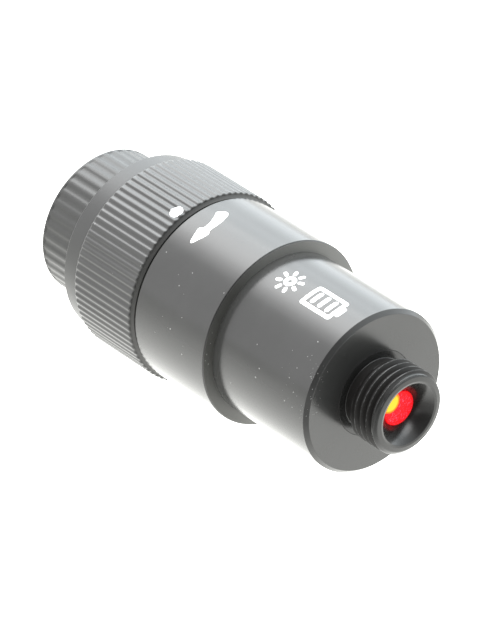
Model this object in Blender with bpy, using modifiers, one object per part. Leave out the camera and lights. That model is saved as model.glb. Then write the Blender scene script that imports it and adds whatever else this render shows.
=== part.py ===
"""Battery-powered red illuminator that screws into a reticle eyepiece or polar scope.

A stepped black barrel carries an LED in a threaded nose. A knurled ring behind
the barrel sets the brightness, and a fluted cap closes the battery tube.

Frame: metres, +X along the axis towards the nose, +Z up. The object lies on its
knurled ring, so the axis is one ring radius above z = 0. Stations along the axis
are given in millimetres behind the nose's front thread edge ("s"), and X = S0 - s.
"""

import math

import bmesh
import bpy
from mathutils import Matrix, Vector

MM = 0.001

# ---- driving dimensions, millimetres ----
S0 = 20.69            # station of x = 0, half way along the object
AXIS_Z = 9.25         # height of the axis: the ring's crest radius

NOSE_TIP, NOSE_R = -0.42, 3.95      # M8 x 0.75 stem
THREAD_PITCH = 0.75
FACE_S = 4.10                       # front face, the seat of the thread
FRONT_R = 7.78                      # front body
STEP_S = 16.63                      # step up to the barrel
BARREL_R = 8.88
BARREL_END = 26.10

RING_FRONT, RING_REAR = 26.50, 36.50
RING_CREST, RING_ROOT, RING_TAIL = 9.25, 9.02, 8.72
RING_TEETH, KNURL_END = 82, 34.30
RING_BORE = 7.72

TUBE_R, TUBE_BORE = 7.60, 6.65      # inner tube that the ring turns on
TUBE_FRONT, TUBE_END = 18.10, 36.40
TRACK_S0, TRACK_S1, TRACK_R = 28.35, 31.65, 7.35

CAP_CREST, CAP_ROOT, CAP_FLUTES = 6.94, 6.68, 40
CAP_HEAD, CAP_END = 37.02, 41.80
SPIGOT_FRONT, SPIGOT_R, CAP_HOLLOW_R, CAP_FLOOR = 32.70, 6.50, 4.60, 39.40

CELL_R, CELL_H = 5.80, 5.30         # button cell, 11.6 mm across
CELL_A, CELL_B = 21.20, 26.65       # front ends of the two cells

TURN_MIN, TURN_MAX = -30.0, 240.0   # brightness ring, degrees from rest
WIPER_AT, PIN_AT, LEAD_AT = 150.0, 315.0, 250.0   # degrees from +Y towards +Z

SEG = 48


# ---- clean start and collections ----
for o in list(bpy.data.objects):
    bpy.data.objects.remove(o, do_unlink=True)

parts = bpy.data.collections.new("reticle_illuminator")
cutters = bpy.data.collections.new("cutters")
bpy.context.scene.collection.children.link(parts)
bpy.context.scene.collection.children.link(cutters)


def material(name, colour, rough, metal):
    m = bpy.data.materials.new(name)
    m.use_nodes = True
    b = m.node_tree.nodes["Principled BSDF"]
    b.inputs["Base Color"].default_value = (*colour, 1)
    b.inputs["Roughness"].default_value = rough
    b.inputs["Metallic"].default_value = metal
    m.diffuse_color = (*colour, 1)
    return m


BLACK = material("black_anodised", (0.022, 0.022, 0.023), 0.30, 0.2)
BRASS = material("brass", (0.72, 0.53, 0.24), 0.30, 1.0)
STEEL = material("steel", (0.62, 0.62, 0.63), 0.25, 1.0)
SPRING = material("spring_steel", (0.55, 0.55, 0.56), 0.22, 1.0)
RED = material("red_epoxy", (0.75, 0.02, 0.03), 0.20, 0.0)
BOARD = material("board", (0.03, 0.16, 0.07), 0.45, 0.0)
CARBON = material("carbon_track", (0.035, 0.035, 0.035), 0.6, 0.0)
PLASTIC = material("black_plastic", (0.03, 0.03, 0.03), 0.5, 0.0)
LINER = material("clear_liner", (0.75, 0.72, 0.62), 0.4, 0.0)
RUBBER = material("rubber", (0.02, 0.02, 0.02), 0.7, 0.0)
CERAMIC = material("ceramic", (0.05, 0.05, 0.06), 0.5, 0.0)
NYLON = material("black_nylon", (0.03, 0.03, 0.03), 0.5, 0.0)

# ---- body empties, each on the axis ----
HOLD = {}
for body, s in (("root", S0), ("control_ring", 31.5), ("spring_unit", 36.0), ("battery_cap", 38.0)):
    e = bpy.data.objects.new("axis_" + body, None)
    e.location = ((S0 - s) * MM, 0, AXIS_Z * MM)
    e.rotation_euler = (0, math.pi / 2, 0)      # local +Z is the nose direction
    e.empty_display_size = 0.004
    parts.objects.link(e)
    HOLD[body] = (e, s)


def place(obj, body, mat, coll=parts):
    """Parent to the body's empty; the mesh is in the axis frame with z = S0 - s."""
    e, s = HOLD[body]
    obj.parent = e
    obj.location = (0, 0, -(S0 - s) * MM)
    coll.objects.link(obj)
    if mat is not None:
        obj.data.materials.append(mat)
    return obj


def cutter(obj, body="root"):
    place(obj, body, None, cutters)
    obj.hide_render = True
    obj.display_type = "WIRE"
    return obj


def turned(name, profile, seg=SEG, closed=True):
    """Solid of revolution. profile is (s, radius) in mm, front to rear on the outer side."""
    me = bpy.data.meshes.new(name)
    verts = [(r * MM, 0, (S0 - s) * MM) for s, r in profile]
    n = len(verts)
    edges = [(i, i + 1) for i in range(n - 1)] + ([(n - 1, 0)] if closed else [])
    me.from_pydata(verts, edges, [])
    o = bpy.data.objects.new(name, me)
    sc = o.modifiers.new("turn", "SCREW")
    sc.axis = "Z"
    sc.angle = 2 * math.pi
    sc.steps = sc.render_steps = seg
    sc.use_merge_vertices = True
    sc.merge_threshold = 1e-6
    sc.use_smooth_shade = True
    return o


def at(angle, radius):
    """Local x, y of a point at angle (degrees from world +Y towards +Z) and radius in mm."""
    a = math.radians(angle + 90)
    return radius * MM * math.cos(a), radius * MM * math.sin(a)


def prism(name, outlines, s0, s1):
    """Flat outline(s) extruded along the axis from station s0 to s1, as a mesh."""
    cu = bpy.data.curves.new(name, "CURVE")
    cu.dimensions = "2D"
    cu.fill_mode = "BOTH"
    cu.extrude = (s1 - s0) / 2 * MM
    for pts in outlines:
        sp = cu.splines.new("POLY")
        sp.points.add(len(pts) - 1)
        for p, (x, y) in zip(sp.points, pts):
            p.co = (x, y, 0, 1)
        sp.use_cyclic_u = True
    tmp = bpy.data.objects.new(name + "_outline", cu)
    bpy.context.scene.collection.objects.link(tmp)
    bpy.context.view_layer.update()
    dg = bpy.context.evaluated_depsgraph_get()
    me = bpy.data.meshes.new_from_object(tmp.evaluated_get(dg))
    bpy.data.objects.remove(tmp, do_unlink=True)
    bm = bmesh.new()
    bm.from_mesh(me)
    bmesh.ops.remove_doubles(bm, verts=bm.verts, dist=1e-7)
    bmesh.ops.translate(bm, verts=bm.verts, vec=(0, 0, (S0 - (s0 + s1) / 2) * MM))
    bmesh.ops.recalc_face_normals(bm, faces=bm.faces)
    bm.to_mesh(me)
    bm.free()
    me.name = name
    return bpy.data.objects.new(name, me)


def sector(r0, r1, a0, a1, step=6.0):
    n = max(2, int(abs(a1 - a0) / step) + 1)
    arc = [a0 + (a1 - a0) * i / n for i in range(n + 1)]
    return [at(a, r1) for a in arc] + [at(a, r0) for a in reversed(arc)]


def toothed(crest, root, teeth, first=-90.0):
    """Outline with straight flanks; a crest is at angle first."""
    pitch = 360.0 / teeth
    pts = []
    for k in range(teeth):
        c = first + k * pitch
        pts += [at(c, crest), at(c + 0.5 * pitch, root)]
    return pts


def circle(r, n=SEG):
    return [at(360.0 * i / n, r) for i in range(n)]


def box(name, size, loc):
    """Axis-frame box: size and centre in mm, (x, y, z)."""
    me = bpy.data.meshes.new(name)
    bm = bmesh.new()
    bmesh.ops.create_cube(bm, size=1.0)
    bmesh.ops.scale(bm, verts=bm.verts, vec=[v * MM for v in size])
    bmesh.ops.translate(bm, verts=bm.verts, vec=[v * MM for v in loc])
    bm.to_mesh(me)
    bm.free()
    return bpy.data.objects.new(name, me)


def rod(name, r, length, centre, direction=(0, 0, 1), seg=16):
    me = bpy.data.meshes.new(name)
    bm = bmesh.new()
    bmesh.ops.create_cone(bm, cap_ends=True, segments=seg, radius1=r * MM, radius2=r * MM, depth=length * MM)
    q = Vector((0, 0, 1)).rotation_difference(Vector(direction).normalized())
    bmesh.ops.transform(bm, verts=bm.verts, matrix=Matrix.Translation([v * MM for v in centre]) @ q.to_matrix().to_4x4())
    bm.to_mesh(me)
    bm.free()
    for p in me.polygons:
        p.use_smooth = True
    me.set_sharp_from_angle(angle=math.radians(40))
    return bpy.data.objects.new(name, me)


def wire(name, pts, radius):
    """Round wire along points in the axis frame, mm."""
    cu = bpy.data.curves.new(name, "CURVE")
    cu.dimensions = "3D"
    cu.bevel_depth = radius * MM
    cu.bevel_resolution = 2
    cu.use_fill_caps = True
    sp = cu.splines.new("POLY")
    sp.points.add(len(pts) - 1)
    for p, v in zip(sp.points, pts):
        p.co = (v[0] * MM, v[1] * MM, v[2] * MM, 1)
    return bpy.data.objects.new(name, cu)


def coil(name, mean_r, wire_r, s0, s1, turns, per_turn=10):
    """Compression spring with closed ends."""
    pts = []
    n = int(turns * per_turn)
    for i in range(n + 1):
        t = i / n
        dead = 1.0 / turns                       # the first and last turn lie flat
        u = min(max((t - dead) / (1 - 2 * dead), 0), 1)
        flat = 2.4 * wire_r
        lift = flat * min(t / dead, 1) + flat * max((t - 1 + dead) / dead, 0)
        s = s0 + wire_r + lift + u * (s1 - s0 - 2 * wire_r - 2 * flat)
        a = 2 * math.pi * turns * t
        pts.append((mean_r * math.cos(a), mean_r * math.sin(a), S0 - s))
    return wire(name, pts, wire_r)


def cut(obj, tool, how="DIFFERENCE"):
    b = obj.modifiers.new(how.lower(), "BOOLEAN")
    b.object = tool
    b.operation = how
    b.solver = "EXACT"
    return obj


def radial(angle, radius):
    x, y = at(angle, radius)
    return x / MM, y / MM


# ================= fixed parts =================
barrel = place(turned("barrel_shell", [
    (FACE_S, 4.05), (FACE_S, FRONT_R - 0.35), (FACE_S + 0.35, FRONT_R),
    (STEP_S, FRONT_R), (STEP_S, BARREL_R - 0.12), (STEP_S + 0.12, BARREL_R),
    (BARREL_END - 0.12, BARREL_R), (BARREL_END, BARREL_R - 0.12),
    (BARREL_END, 7.90), (BARREL_END - 0.18, 7.72),
    (17.90, 7.72), (17.90, 6.75), (10.30, 6.75), (10.30, 5.60),
    (6.10, 5.60), (6.10, 3.60), (FACE_S + 0.45, 3.60)], 48), "root", BLACK)

crest = [(k * THREAD_PITCH, NOSE_R) for k in range(4)]
thread = []
for k, (s, r) in enumerate(crest):
    thread += [(s - (0.0 if k == 0 else 0.06), r), (s + 0.06, r)]
    thread += [(s + 0.34, 3.55), (s + 0.41, 3.55)] if k < 3 else [(s + 0.38, 3.30)]
nose = place(turned("threaded_nose", [
    (NOSE_TIP, 3.00), (NOSE_TIP, 3.22), (-0.34, 3.58), (-0.16, 3.84)] + thread + [
    (3.64, 3.30), (3.74, 3.50), (6.20, 3.50), (6.20, 4.80), (7.00, 4.80),
    (7.00, 2.05), (5.15, 2.05), (5.15, 1.60), (0.98, 1.60)], 32), "root", BLACK)

dome = [(0.90 + 1.5 * (1 - math.cos(math.radians(a))), 1.5 * math.sin(math.radians(a))) for a in range(0, 91, 18)]
led = place(turned("led_lens", dome + [(5.25, 1.50), (5.25, 1.95), (6.20, 1.95), (6.20, 0)], 24, closed=False), "root", RED)

holder = place(turned("led_holder", [(6.30, 0), (6.30, 1.90), (7.10, 1.90), (7.10, 5.40), (10.00, 5.40), (10.00, 0)], 32, closed=False), "root", PLASTIC)
board = place(turned("control_board", [(10.45, 0), (10.45, 6.60), (11.45, 6.60), (11.45, 0)], 48, closed=False), "root", BOARD)
for name, side, end in (("led_anode_lead", 1, 12.10), ("led_cathode_lead", -1, 11.90)):
    x, y = radial(0 if side > 0 else 180, 1.27)
    hole = cutter(rod(name + "_hole", 0.40, 8.0, (x, y, S0 - 9.0)))
    cut(holder, hole)
    cut(board, hole)
    place(rod(name, 0.25, end - 6.30, (x, y, S0 - (end + 6.30) / 2), seg=12), "root", STEEL)

x, y = radial(0, 3.90)
place(box("series_resistor", (3.2, 1.6, 0.60), (x, y, S0 - 11.90)), "root", CERAMIC)
place(turned("board_retaining_ring", [(11.65, 5.50), (11.65, 6.65), (12.90, 6.65), (12.90, 5.50)], 32), "root", BRASS)

guide = place(turned("spring_guide", [(13.10, 2.45), (13.10, 6.60), (14.30, 6.60), (14.30, 3.60), (17.60, 3.60), (17.60, 2.45)], 32), "root", PLASTIC)
notch = cutter(box("lead_notch", (2.8, 1.2, 3.0), (5.60, 0, S0 - 13.70)))
notch.rotation_euler.z = math.radians(LEAD_AT + 90)      # local +X points to the lead
cut(guide, notch)

place(coil("positive_contact_spring", 2.00, 0.20, 11.60, 21.05, 6), "root", SPRING)

tube = place(turned("inner_tube", [
    (TUBE_FRONT, TUBE_BORE), (TUBE_FRONT, TUBE_R), (TRACK_S0, TUBE_R), (TRACK_S0, TRACK_R),
    (TRACK_S1, TRACK_R), (TRACK_S1, TUBE_R), (34.95, TUBE_R), (34.95, 8.10), (TUBE_END, 8.10),
    (TUBE_END, TUBE_BORE)], 48), "root", BLACK)
slot = cutter(box("lead_slot", (2.4, 1.4, 11.6), (7.10, 0, S0 - 22.80)))
slot.rotation_euler.z = math.radians(LEAD_AT + 90)
cut(tube, slot)
px, py = radial(PIN_AT, 1.0)
x, y = radial(PIN_AT, 7.20)
pin_hole = cutter(rod("stop_pin_hole", 0.45, 2.6, (x, y, S0 - 33.10), (px, py, 0)))
cut(tube, pin_hole)

place(turned("battery_liner", [(19.20, 5.95), (19.20, 6.50), (32.10, 6.50), (32.10, 5.95)], 32), "root", LINER)
for name, s in (("battery_cell_front", CELL_A), ("battery_cell_rear", CELL_B)):
    place(turned(name, [(s, 0), (s, CELL_R - 0.25), (s + 0.25, CELL_R), (s + 4.75, CELL_R), (s + 5.00, CELL_R - 0.30),
                        (s + 5.00, 4.85), (s + CELL_H - 0.1, 4.75), (s + CELL_H, 4.60), (s + CELL_H, 0)], 32, closed=False), "root", STEEL)

place(prism("track_band", [sector(7.38, 7.56, WIPER_AT + TURN_MIN + 5, WIPER_AT + TURN_MAX + 5)], 28.45, 31.55), "root", CARBON)

path = [(28.20, 7.10), (24.0, 7.10), (20.30, 7.10), (19.20, 7.02), (18.50, 6.72), (17.90, 6.22), (17.20, 5.60),
        (16.20, 5.10), (15.00, 4.88), (13.60, 4.82), (12.50, 4.80), (11.75, 4.80)]
place(wire("track_lead", [(*radial(LEAD_AT, r), S0 - s) for s, r in path], 0.20), "root", STEEL)

place(turned("thrust_washer", [(26.17, 7.75), (26.17, 8.30), (26.42, 8.30), (26.42, 7.75)], 40), "root", NYLON)
place(turned("wave_washer", [(34.72, 7.75), (34.72, 8.05), (34.88, 8.05), (34.88, 7.75)], 40), "root", SPRING)
x, y = radial(PIN_AT, 7.45)
place(rod("ring_stop_pin", 0.40, 1.40, (x, y, S0 - 33.10), (px, py, 0), seg=16), "root", STEEL)

# ================= brightness ring =================
ring = place(turned("control_ring", [
    (RING_FRONT + 0.05, RING_BORE), (RING_FRONT + 0.05, 8.98), (RING_FRONT + 0.10, RING_ROOT),
    (KNURL_END + 0.12, RING_ROOT), (RING_REAR - 0.10, RING_TAIL), (RING_REAR, RING_TAIL - 0.10),
    (RING_REAR, 8.22), (34.65, 8.22), (34.65, RING_BORE)], 41), "control_ring", BLACK)
teeth = cutter(prism("ring_teeth", [toothed(RING_CREST, RING_ROOT - 0.03, RING_TEETH), circle(8.75)], RING_FRONT, KNURL_END), "control_ring")
cut(ring, teeth, "UNION")
half = math.degrees(0.40 / 7.9) + 2.5
groove = cutter(prism("stop_groove", [sector(7.50, 8.30, PIN_AT - TURN_MAX - half, PIN_AT - TURN_MIN + half)], 32.55, 33.65), "control_ring")
cut(ring, groove)
pocket = cutter(prism("wiper_pocket", [sector(7.50, 8.45, WIPER_AT - 33, WIPER_AT + 33)], 28.80, 31.20), "control_ring")
cut(ring, pocket)

leaf = []
for i in range(-8, 9):
    a = i * 3.5
    leaf.append((WIPER_AT + a, 7.70 + 0.33 * (1 - math.cos(math.radians(a * 180 / 28)))))
place(prism("wiper_spring", [[at(a, r + 0.06) for a, r in leaf] + [at(a, r - 0.06) for a, r in reversed(leaf)]], 29.20, 30.80), "control_ring", BRASS)

# ================= spring and cap =================
place(turned("spring_contact_disc", [(32.15, 0), (32.15, 4.20), (32.30, 4.35), (32.60, 4.35), (32.60, 0)], 32, closed=False), "spring_unit", BRASS)
place(coil("cap_spring", 3.30, 0.25, 32.70, 39.25, 4.5), "spring_unit", SPRING)

cap = place(turned("battery_cap", [
    (CAP_FLOOR, 0), (CAP_FLOOR, CAP_HOLLOW_R), (SPIGOT_FRONT, CAP_HOLLOW_R), (SPIGOT_FRONT, SPIGOT_R - 0.15),
    (SPIGOT_FRONT + 0.15, SPIGOT_R), (36.30, SPIGOT_R), (36.30, 6.18), (CAP_HEAD, 6.18), (CAP_HEAD, CAP_ROOT),
    (CAP_END - 0.18, CAP_ROOT), (CAP_END, CAP_ROOT - 0.18), (CAP_END, 0)], 40, closed=False), "battery_cap", BLACK)
flutes = cutter(prism("cap_flutes", [toothed(CAP_CREST, CAP_ROOT - 0.03, CAP_FLUTES), circle(6.30, 40)], CAP_HEAD + 0.08, CAP_END - 0.12), "battery_cap")
cut(cap, flutes, "UNION")

ring_pts = [(36.70 + 0.27 * math.cos(math.radians(a)), 6.49 + 0.27 * math.sin(math.radians(a))) for a in range(180, -180, -45)]
place(turned("cap_o_ring", ring_pts, 24), "battery_cap", RUBBER)

for o in parts.objects:
    if o.type == "MESH" and o.modifiers:
        for p in o.data.polygons:
            p.use_smooth = True
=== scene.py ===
"""Looks of the reticle illuminator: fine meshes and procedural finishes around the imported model.

Everything is placed from the frame. Stations along the axis are millimetres behind the
nose's front thread edge ("s", X = S0 - s), angles are degrees from +Y towards +Z.
"""
import math

import bmesh
import bpy
import numpy as np
from mathutils import Matrix, Vector


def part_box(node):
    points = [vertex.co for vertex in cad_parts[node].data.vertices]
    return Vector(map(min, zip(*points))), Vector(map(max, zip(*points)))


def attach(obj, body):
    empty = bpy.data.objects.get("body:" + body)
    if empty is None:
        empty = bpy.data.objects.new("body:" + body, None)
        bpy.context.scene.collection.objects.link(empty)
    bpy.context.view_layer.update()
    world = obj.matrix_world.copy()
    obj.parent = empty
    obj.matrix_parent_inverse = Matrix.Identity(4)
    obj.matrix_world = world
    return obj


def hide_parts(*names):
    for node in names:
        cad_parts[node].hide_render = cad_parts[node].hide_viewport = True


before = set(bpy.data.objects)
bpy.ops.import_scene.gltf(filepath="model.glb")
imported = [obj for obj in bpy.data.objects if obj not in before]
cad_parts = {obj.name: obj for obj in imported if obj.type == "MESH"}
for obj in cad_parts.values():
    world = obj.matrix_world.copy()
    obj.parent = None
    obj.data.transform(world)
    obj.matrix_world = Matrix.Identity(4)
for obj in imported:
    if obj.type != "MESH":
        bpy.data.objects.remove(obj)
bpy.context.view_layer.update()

MM = 0.001
_lo, _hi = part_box("barrel_shell")
S0 = _hi.x / MM + 4.10                  # station of x = 0
AXIS = (_lo.z + _hi.z) / 2 / MM         # height of the axis
rng = np.random.default_rng(20)
scene = bpy.context.scene
coll = scene.collection

# =====================================================================
# camera, at the photograph's viewing angle
# =====================================================================
AZ, EL = math.radians(50.364), math.radians(31.784)
right = Vector((math.cos(AZ), math.sin(AZ), 0))
up = Vector((-math.sin(EL) * math.sin(AZ), math.sin(EL) * math.cos(AZ), math.cos(EL)))
back = Vector((math.sin(AZ) * math.cos(EL), -math.cos(AZ) * math.cos(EL), math.sin(EL)))
front_centre = Vector((S0, 0, AXIS))
cam_data = bpy.data.cameras.new("camera")
cam = bpy.data.objects.new("camera", cam_data)
coll.objects.link(cam)
cam.location = (front_centre - right * 13.3415 + up * 8.5675 + back * 427.2308) * MM
cam.rotation_mode = "QUATERNION"
cam.rotation_quaternion = Matrix((right, up, back)).transposed().to_quaternion()
cam_data.lens, cam_data.sensor_width = 288.0, 36.0
cam_data.clip_start, cam_data.clip_end = 0.01, 20.0
cam_data.dof.use_dof = False
scene.camera = cam
scene.view_settings.view_transform = "Standard"
scene.view_settings.look = "None"


# =====================================================================
# mesh helpers
# =====================================================================
def finish_mesh(name, verts, faces, sharp=None, smooth=True):
    me = bpy.data.meshes.new(name)
    me.from_pydata([tuple(v) for v in verts], [], faces)
    me.update()
    bm = bmesh.new()
    bm.from_mesh(me)
    bmesh.ops.remove_doubles(bm, verts=bm.verts, dist=2e-8)
    bmesh.ops.dissolve_degenerate(bm, edges=bm.edges, dist=2e-8)
    bmesh.ops.recalc_face_normals(bm, faces=bm.faces)
    bm.to_mesh(me)
    bm.free()
    if smooth:
        for p in me.polygons:
            p.use_smooth = True
    if sharp:
        me.set_sharp_from_angle(angle=math.radians(sharp))
    o = bpy.data.objects.new(name, me)
    coll.objects.link(o)
    return o


def point(s, r, deg):
    a = math.radians(deg)
    return Vector(((S0 - s) * MM, r * math.cos(a) * MM, (AXIS + r * math.sin(a)) * MM))


def shell(name, S, R, closed=True, sharp=40, deg=None):
    """Grid of stations S and radii R, rows along the section and columns round the axis."""
    S, R = np.asarray(S, float), np.asarray(R, float)
    rows, cols = R.shape
    if S.ndim == 1:
        S = np.repeat(S[:, None], cols, 1)
    a = np.radians(np.arange(cols) * 360.0 / cols if deg is None else deg)
    X, Y, Z = (S0 - S) * MM, R * np.cos(a) * MM, (AXIS + R * np.sin(a)) * MM
    verts, index = [], []
    for i in range(rows):
        if np.all(R[i] < 1e-6):
            index.append([len(verts)] * cols)
            verts.append((X[i, 0], 0.0, AXIS * MM))
        else:
            index.append(list(range(len(verts), len(verts) + cols)))
            verts.extend(zip(X[i], Y[i], Z[i]))
    faces = []
    last = rows if closed else rows - 1
    for i in range(last):
        p, q = index[i], index[(i + 1) % rows]
        for j in range(cols):
            k = (j + 1) % cols
            f = []
            for v in (p[j], p[k], q[k], q[j]):
                if v not in f:
                    f.append(v)
            if len(f) > 2:
                faces.append(f)
    return finish_mesh(name, verts, faces, sharp)


def rounded(points, closed=True, n=5, support=0.03):
    """(s, R, fillet) corners to a dense section, with support points beside each fillet."""
    out = []
    m = len(points)
    for i, (s, r, f) in enumerate(points):
        p = np.array((s, r), float)
        if f <= 0 or (not closed and i in (0, m - 1)):
            out.append(p)
            continue
        a, b = np.array(points[i - 1][:2], float), np.array(points[(i + 1) % m][:2], float)
        u, v = a - p, b - p
        lu, lv = np.linalg.norm(u), np.linalg.norm(v)
        u, v = u / lu, v / lv
        turn = math.pi - math.acos(max(-1, min(1, float(u @ v))))
        if turn < 1e-3:
            out.append(p)
            continue
        t = min(f * math.tan(turn / 2), 0.45 * lu, 0.45 * lv)
        rad = t / math.tan(turn / 2)
        c = p + (u + v) / np.linalg.norm(u + v) * math.hypot(t, rad)
        p0, p1 = p + u * t, p + v * t
        e0, e1 = p0 - c, p1 - c
        sup = min(support, 0.2 * t + 0.01)
        if t + sup < 0.49 * lu:
            out.append(p0 + u * sup)
        for k in range(n + 1):
            w = k / n
            d = e0 * math.sin((1 - w) * turn) + e1 * math.sin(w * turn)
            out.append(c + d / math.sin(turn))
        if t + sup < 0.49 * lv:
            out.append(p1 + v * sup)
    return np.array(out)


def turned(name, points, cols=192, closed=True, n=5, sharp=40):
    sec = rounded(points, closed, n)
    return shell(name, sec[:, 0], np.repeat(sec[:, 1:2], cols, 1), closed, sharp)


def tube(name, pts, radius, sides=12, resolution=2):
    """Round wire through points in metres, as a mesh with closed ends."""
    cu = bpy.data.curves.new(name, "CURVE")
    cu.dimensions = "3D"
    cu.bevel_depth = radius * MM
    cu.bevel_resolution = max(0, sides // 4 - 1) if sides > 8 else 1
    cu.use_fill_caps = True
    sp = cu.splines.new("POLY")
    sp.points.add(len(pts) - 1)
    for p, v in zip(sp.points, pts):
        p.co = (v[0], v[1], v[2], 1)
    tmp = bpy.data.objects.new(name + "_tmp", cu)
    coll.objects.link(tmp)
    bpy.context.view_layer.update()
    me = bpy.data.meshes.new_from_object(tmp.evaluated_get(bpy.context.evaluated_depsgraph_get()))
    bpy.data.objects.remove(tmp, do_unlink=True)
    bm = bmesh.new()
    bm.from_mesh(me)
    bmesh.ops.remove_doubles(bm, verts=bm.verts, dist=1e-8)
    bmesh.ops.recalc_face_normals(bm, faces=bm.faces)
    bm.to_mesh(me)
    bm.free()
    me.name = name
    for p in me.polygons:
        p.use_smooth = True
    me.set_sharp_from_angle(angle=math.radians(50))
    o = bpy.data.objects.new(name, me)
    coll.objects.link(o)
    return o


# =====================================================================
# material helpers
# =====================================================================
class Nodes:
    def __init__(self, name):
        self.mat = bpy.data.materials.new(name)
        self.mat.use_nodes = True
        self.t = self.mat.node_tree
        self.shader = self.t.nodes["Principled BSDF"]
        self._mm = None

    def put(self, socket, value):
        if isinstance(value, bpy.types.NodeSocket):
            self.t.links.new(value, socket)
        else:
            socket.default_value = value

    def node(self, kind, **props):
        n = self.t.nodes.new(kind)
        for k, v in props.items():
            setattr(n, k, v)
        return n

    def math(self, op, a, b=0.0, c=0.0, clamp=False):
        n = self.node("ShaderNodeMath", operation=op, use_clamp=clamp)
        for i, v in enumerate((a, b, c)):
            self.put(n.inputs[i], v)
        return n.outputs[0]

    def vec(self, op, a, b=(0, 0, 0), scale=None):
        n = self.node("ShaderNodeVectorMath", operation=op)
        self.put(n.inputs[0], a)
        self.put(n.inputs[1], b)
        if scale is not None:
            self.put(n.inputs["Scale"], scale)
        return n.outputs["Value"] if op in ("DISTANCE", "LENGTH", "DOT_PRODUCT") else n.outputs["Vector"]

    def mm(self):
        """Object coordinates in mm, with the axis as the x axis."""
        if self._mm is None:
            co = self.node("ShaderNodeTexCoord").outputs["Object"]
            self._mm = self.vec("SUBTRACT", self.vec("SCALE", co, scale=1000.0), (S0, 0, AXIS))
        return self._mm

    def polar(self):
        """(s, radius, angle in degrees)."""
        n = self.node("ShaderNodeSeparateXYZ")
        self.put(n.inputs[0], self.mm())
        s = self.math("MULTIPLY", n.outputs[0], -1.0)
        r = self.math("SQRT", self.math("ADD", self.math("POWER", n.outputs[1], 2.0), self.math("POWER", n.outputs[2], 2.0)))
        a = self.math("MULTIPLY", self.math("ARCTAN2", n.outputs[2], n.outputs[1]), 57.29578)
        return s, r, a

    def combine(self, x, y, z):
        n = self.node("ShaderNodeCombineXYZ")
        for i, v in enumerate((x, y, z)):
            self.put(n.inputs[i], v)
        return n.outputs[0]

    def noise(self, vector, scale, detail=2.0, rough=0.5, dist=0.0, out="Fac"):
        n = self.node("ShaderNodeTexNoise")
        self.put(n.inputs["Vector"], vector)
        for k, v in (("Scale", scale), ("Detail", detail), ("Roughness", rough), ("Distortion", dist)):
            self.put(n.inputs[k], v)
        return n.outputs[out]

    def remap(self, v, a, b, c=0.0, d=1.0, smooth=False):
        n = self.node("ShaderNodeMapRange")
        n.interpolation_type = "SMOOTHSTEP" if smooth else "LINEAR"
        for i, x in enumerate((v, a, b, c, d)):
            self.put(n.inputs[i], x)
        return n.outputs[0]

    def mix(self, fac, a, b):
        n = self.node("ShaderNodeMix", data_type="RGBA")
        self.put(n.inputs["Factor"], fac)
        self.put(n.inputs[6], a if isinstance(a, bpy.types.NodeSocket) else (*a, 1))
        self.put(n.inputs[7], b if isinstance(b, bpy.types.NodeSocket) else (*b, 1))
        return n.outputs[2]

    def bump(self, height, depth_mm, strength=1.0, normal=None):
        n = self.node("ShaderNodeBump")
        self.put(n.inputs["Strength"], strength)
        self.put(n.inputs["Distance"], depth_mm * MM)
        self.put(n.inputs["Height"], height)
        if normal is not None:
            self.put(n.inputs["Normal"], normal)
        return n.outputs[0]

    def set(self, **kw):
        for k, v in kw.items():
            name = {"color": "Base Color", "rough": "Roughness", "metal": "Metallic", "ior": "IOR", "normal": "Normal",
                    "spec": "Specular IOR Level", "coat": "Coat Weight", "coat_rough": "Coat Roughness",
                    "emit": "Emission Color", "emit_strength": "Emission Strength", "sss": "Subsurface Weight",
                    "trans": "Transmission Weight", "aniso": "Anisotropic", "alpha": "Alpha"}[k]
            s = self.shader.inputs[name]
            if not isinstance(v, bpy.types.NodeSocket) and s.type == "RGBA" and len(v) == 3:
                v = (*v, 1)
            self.put(s, v)
        return self


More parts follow.
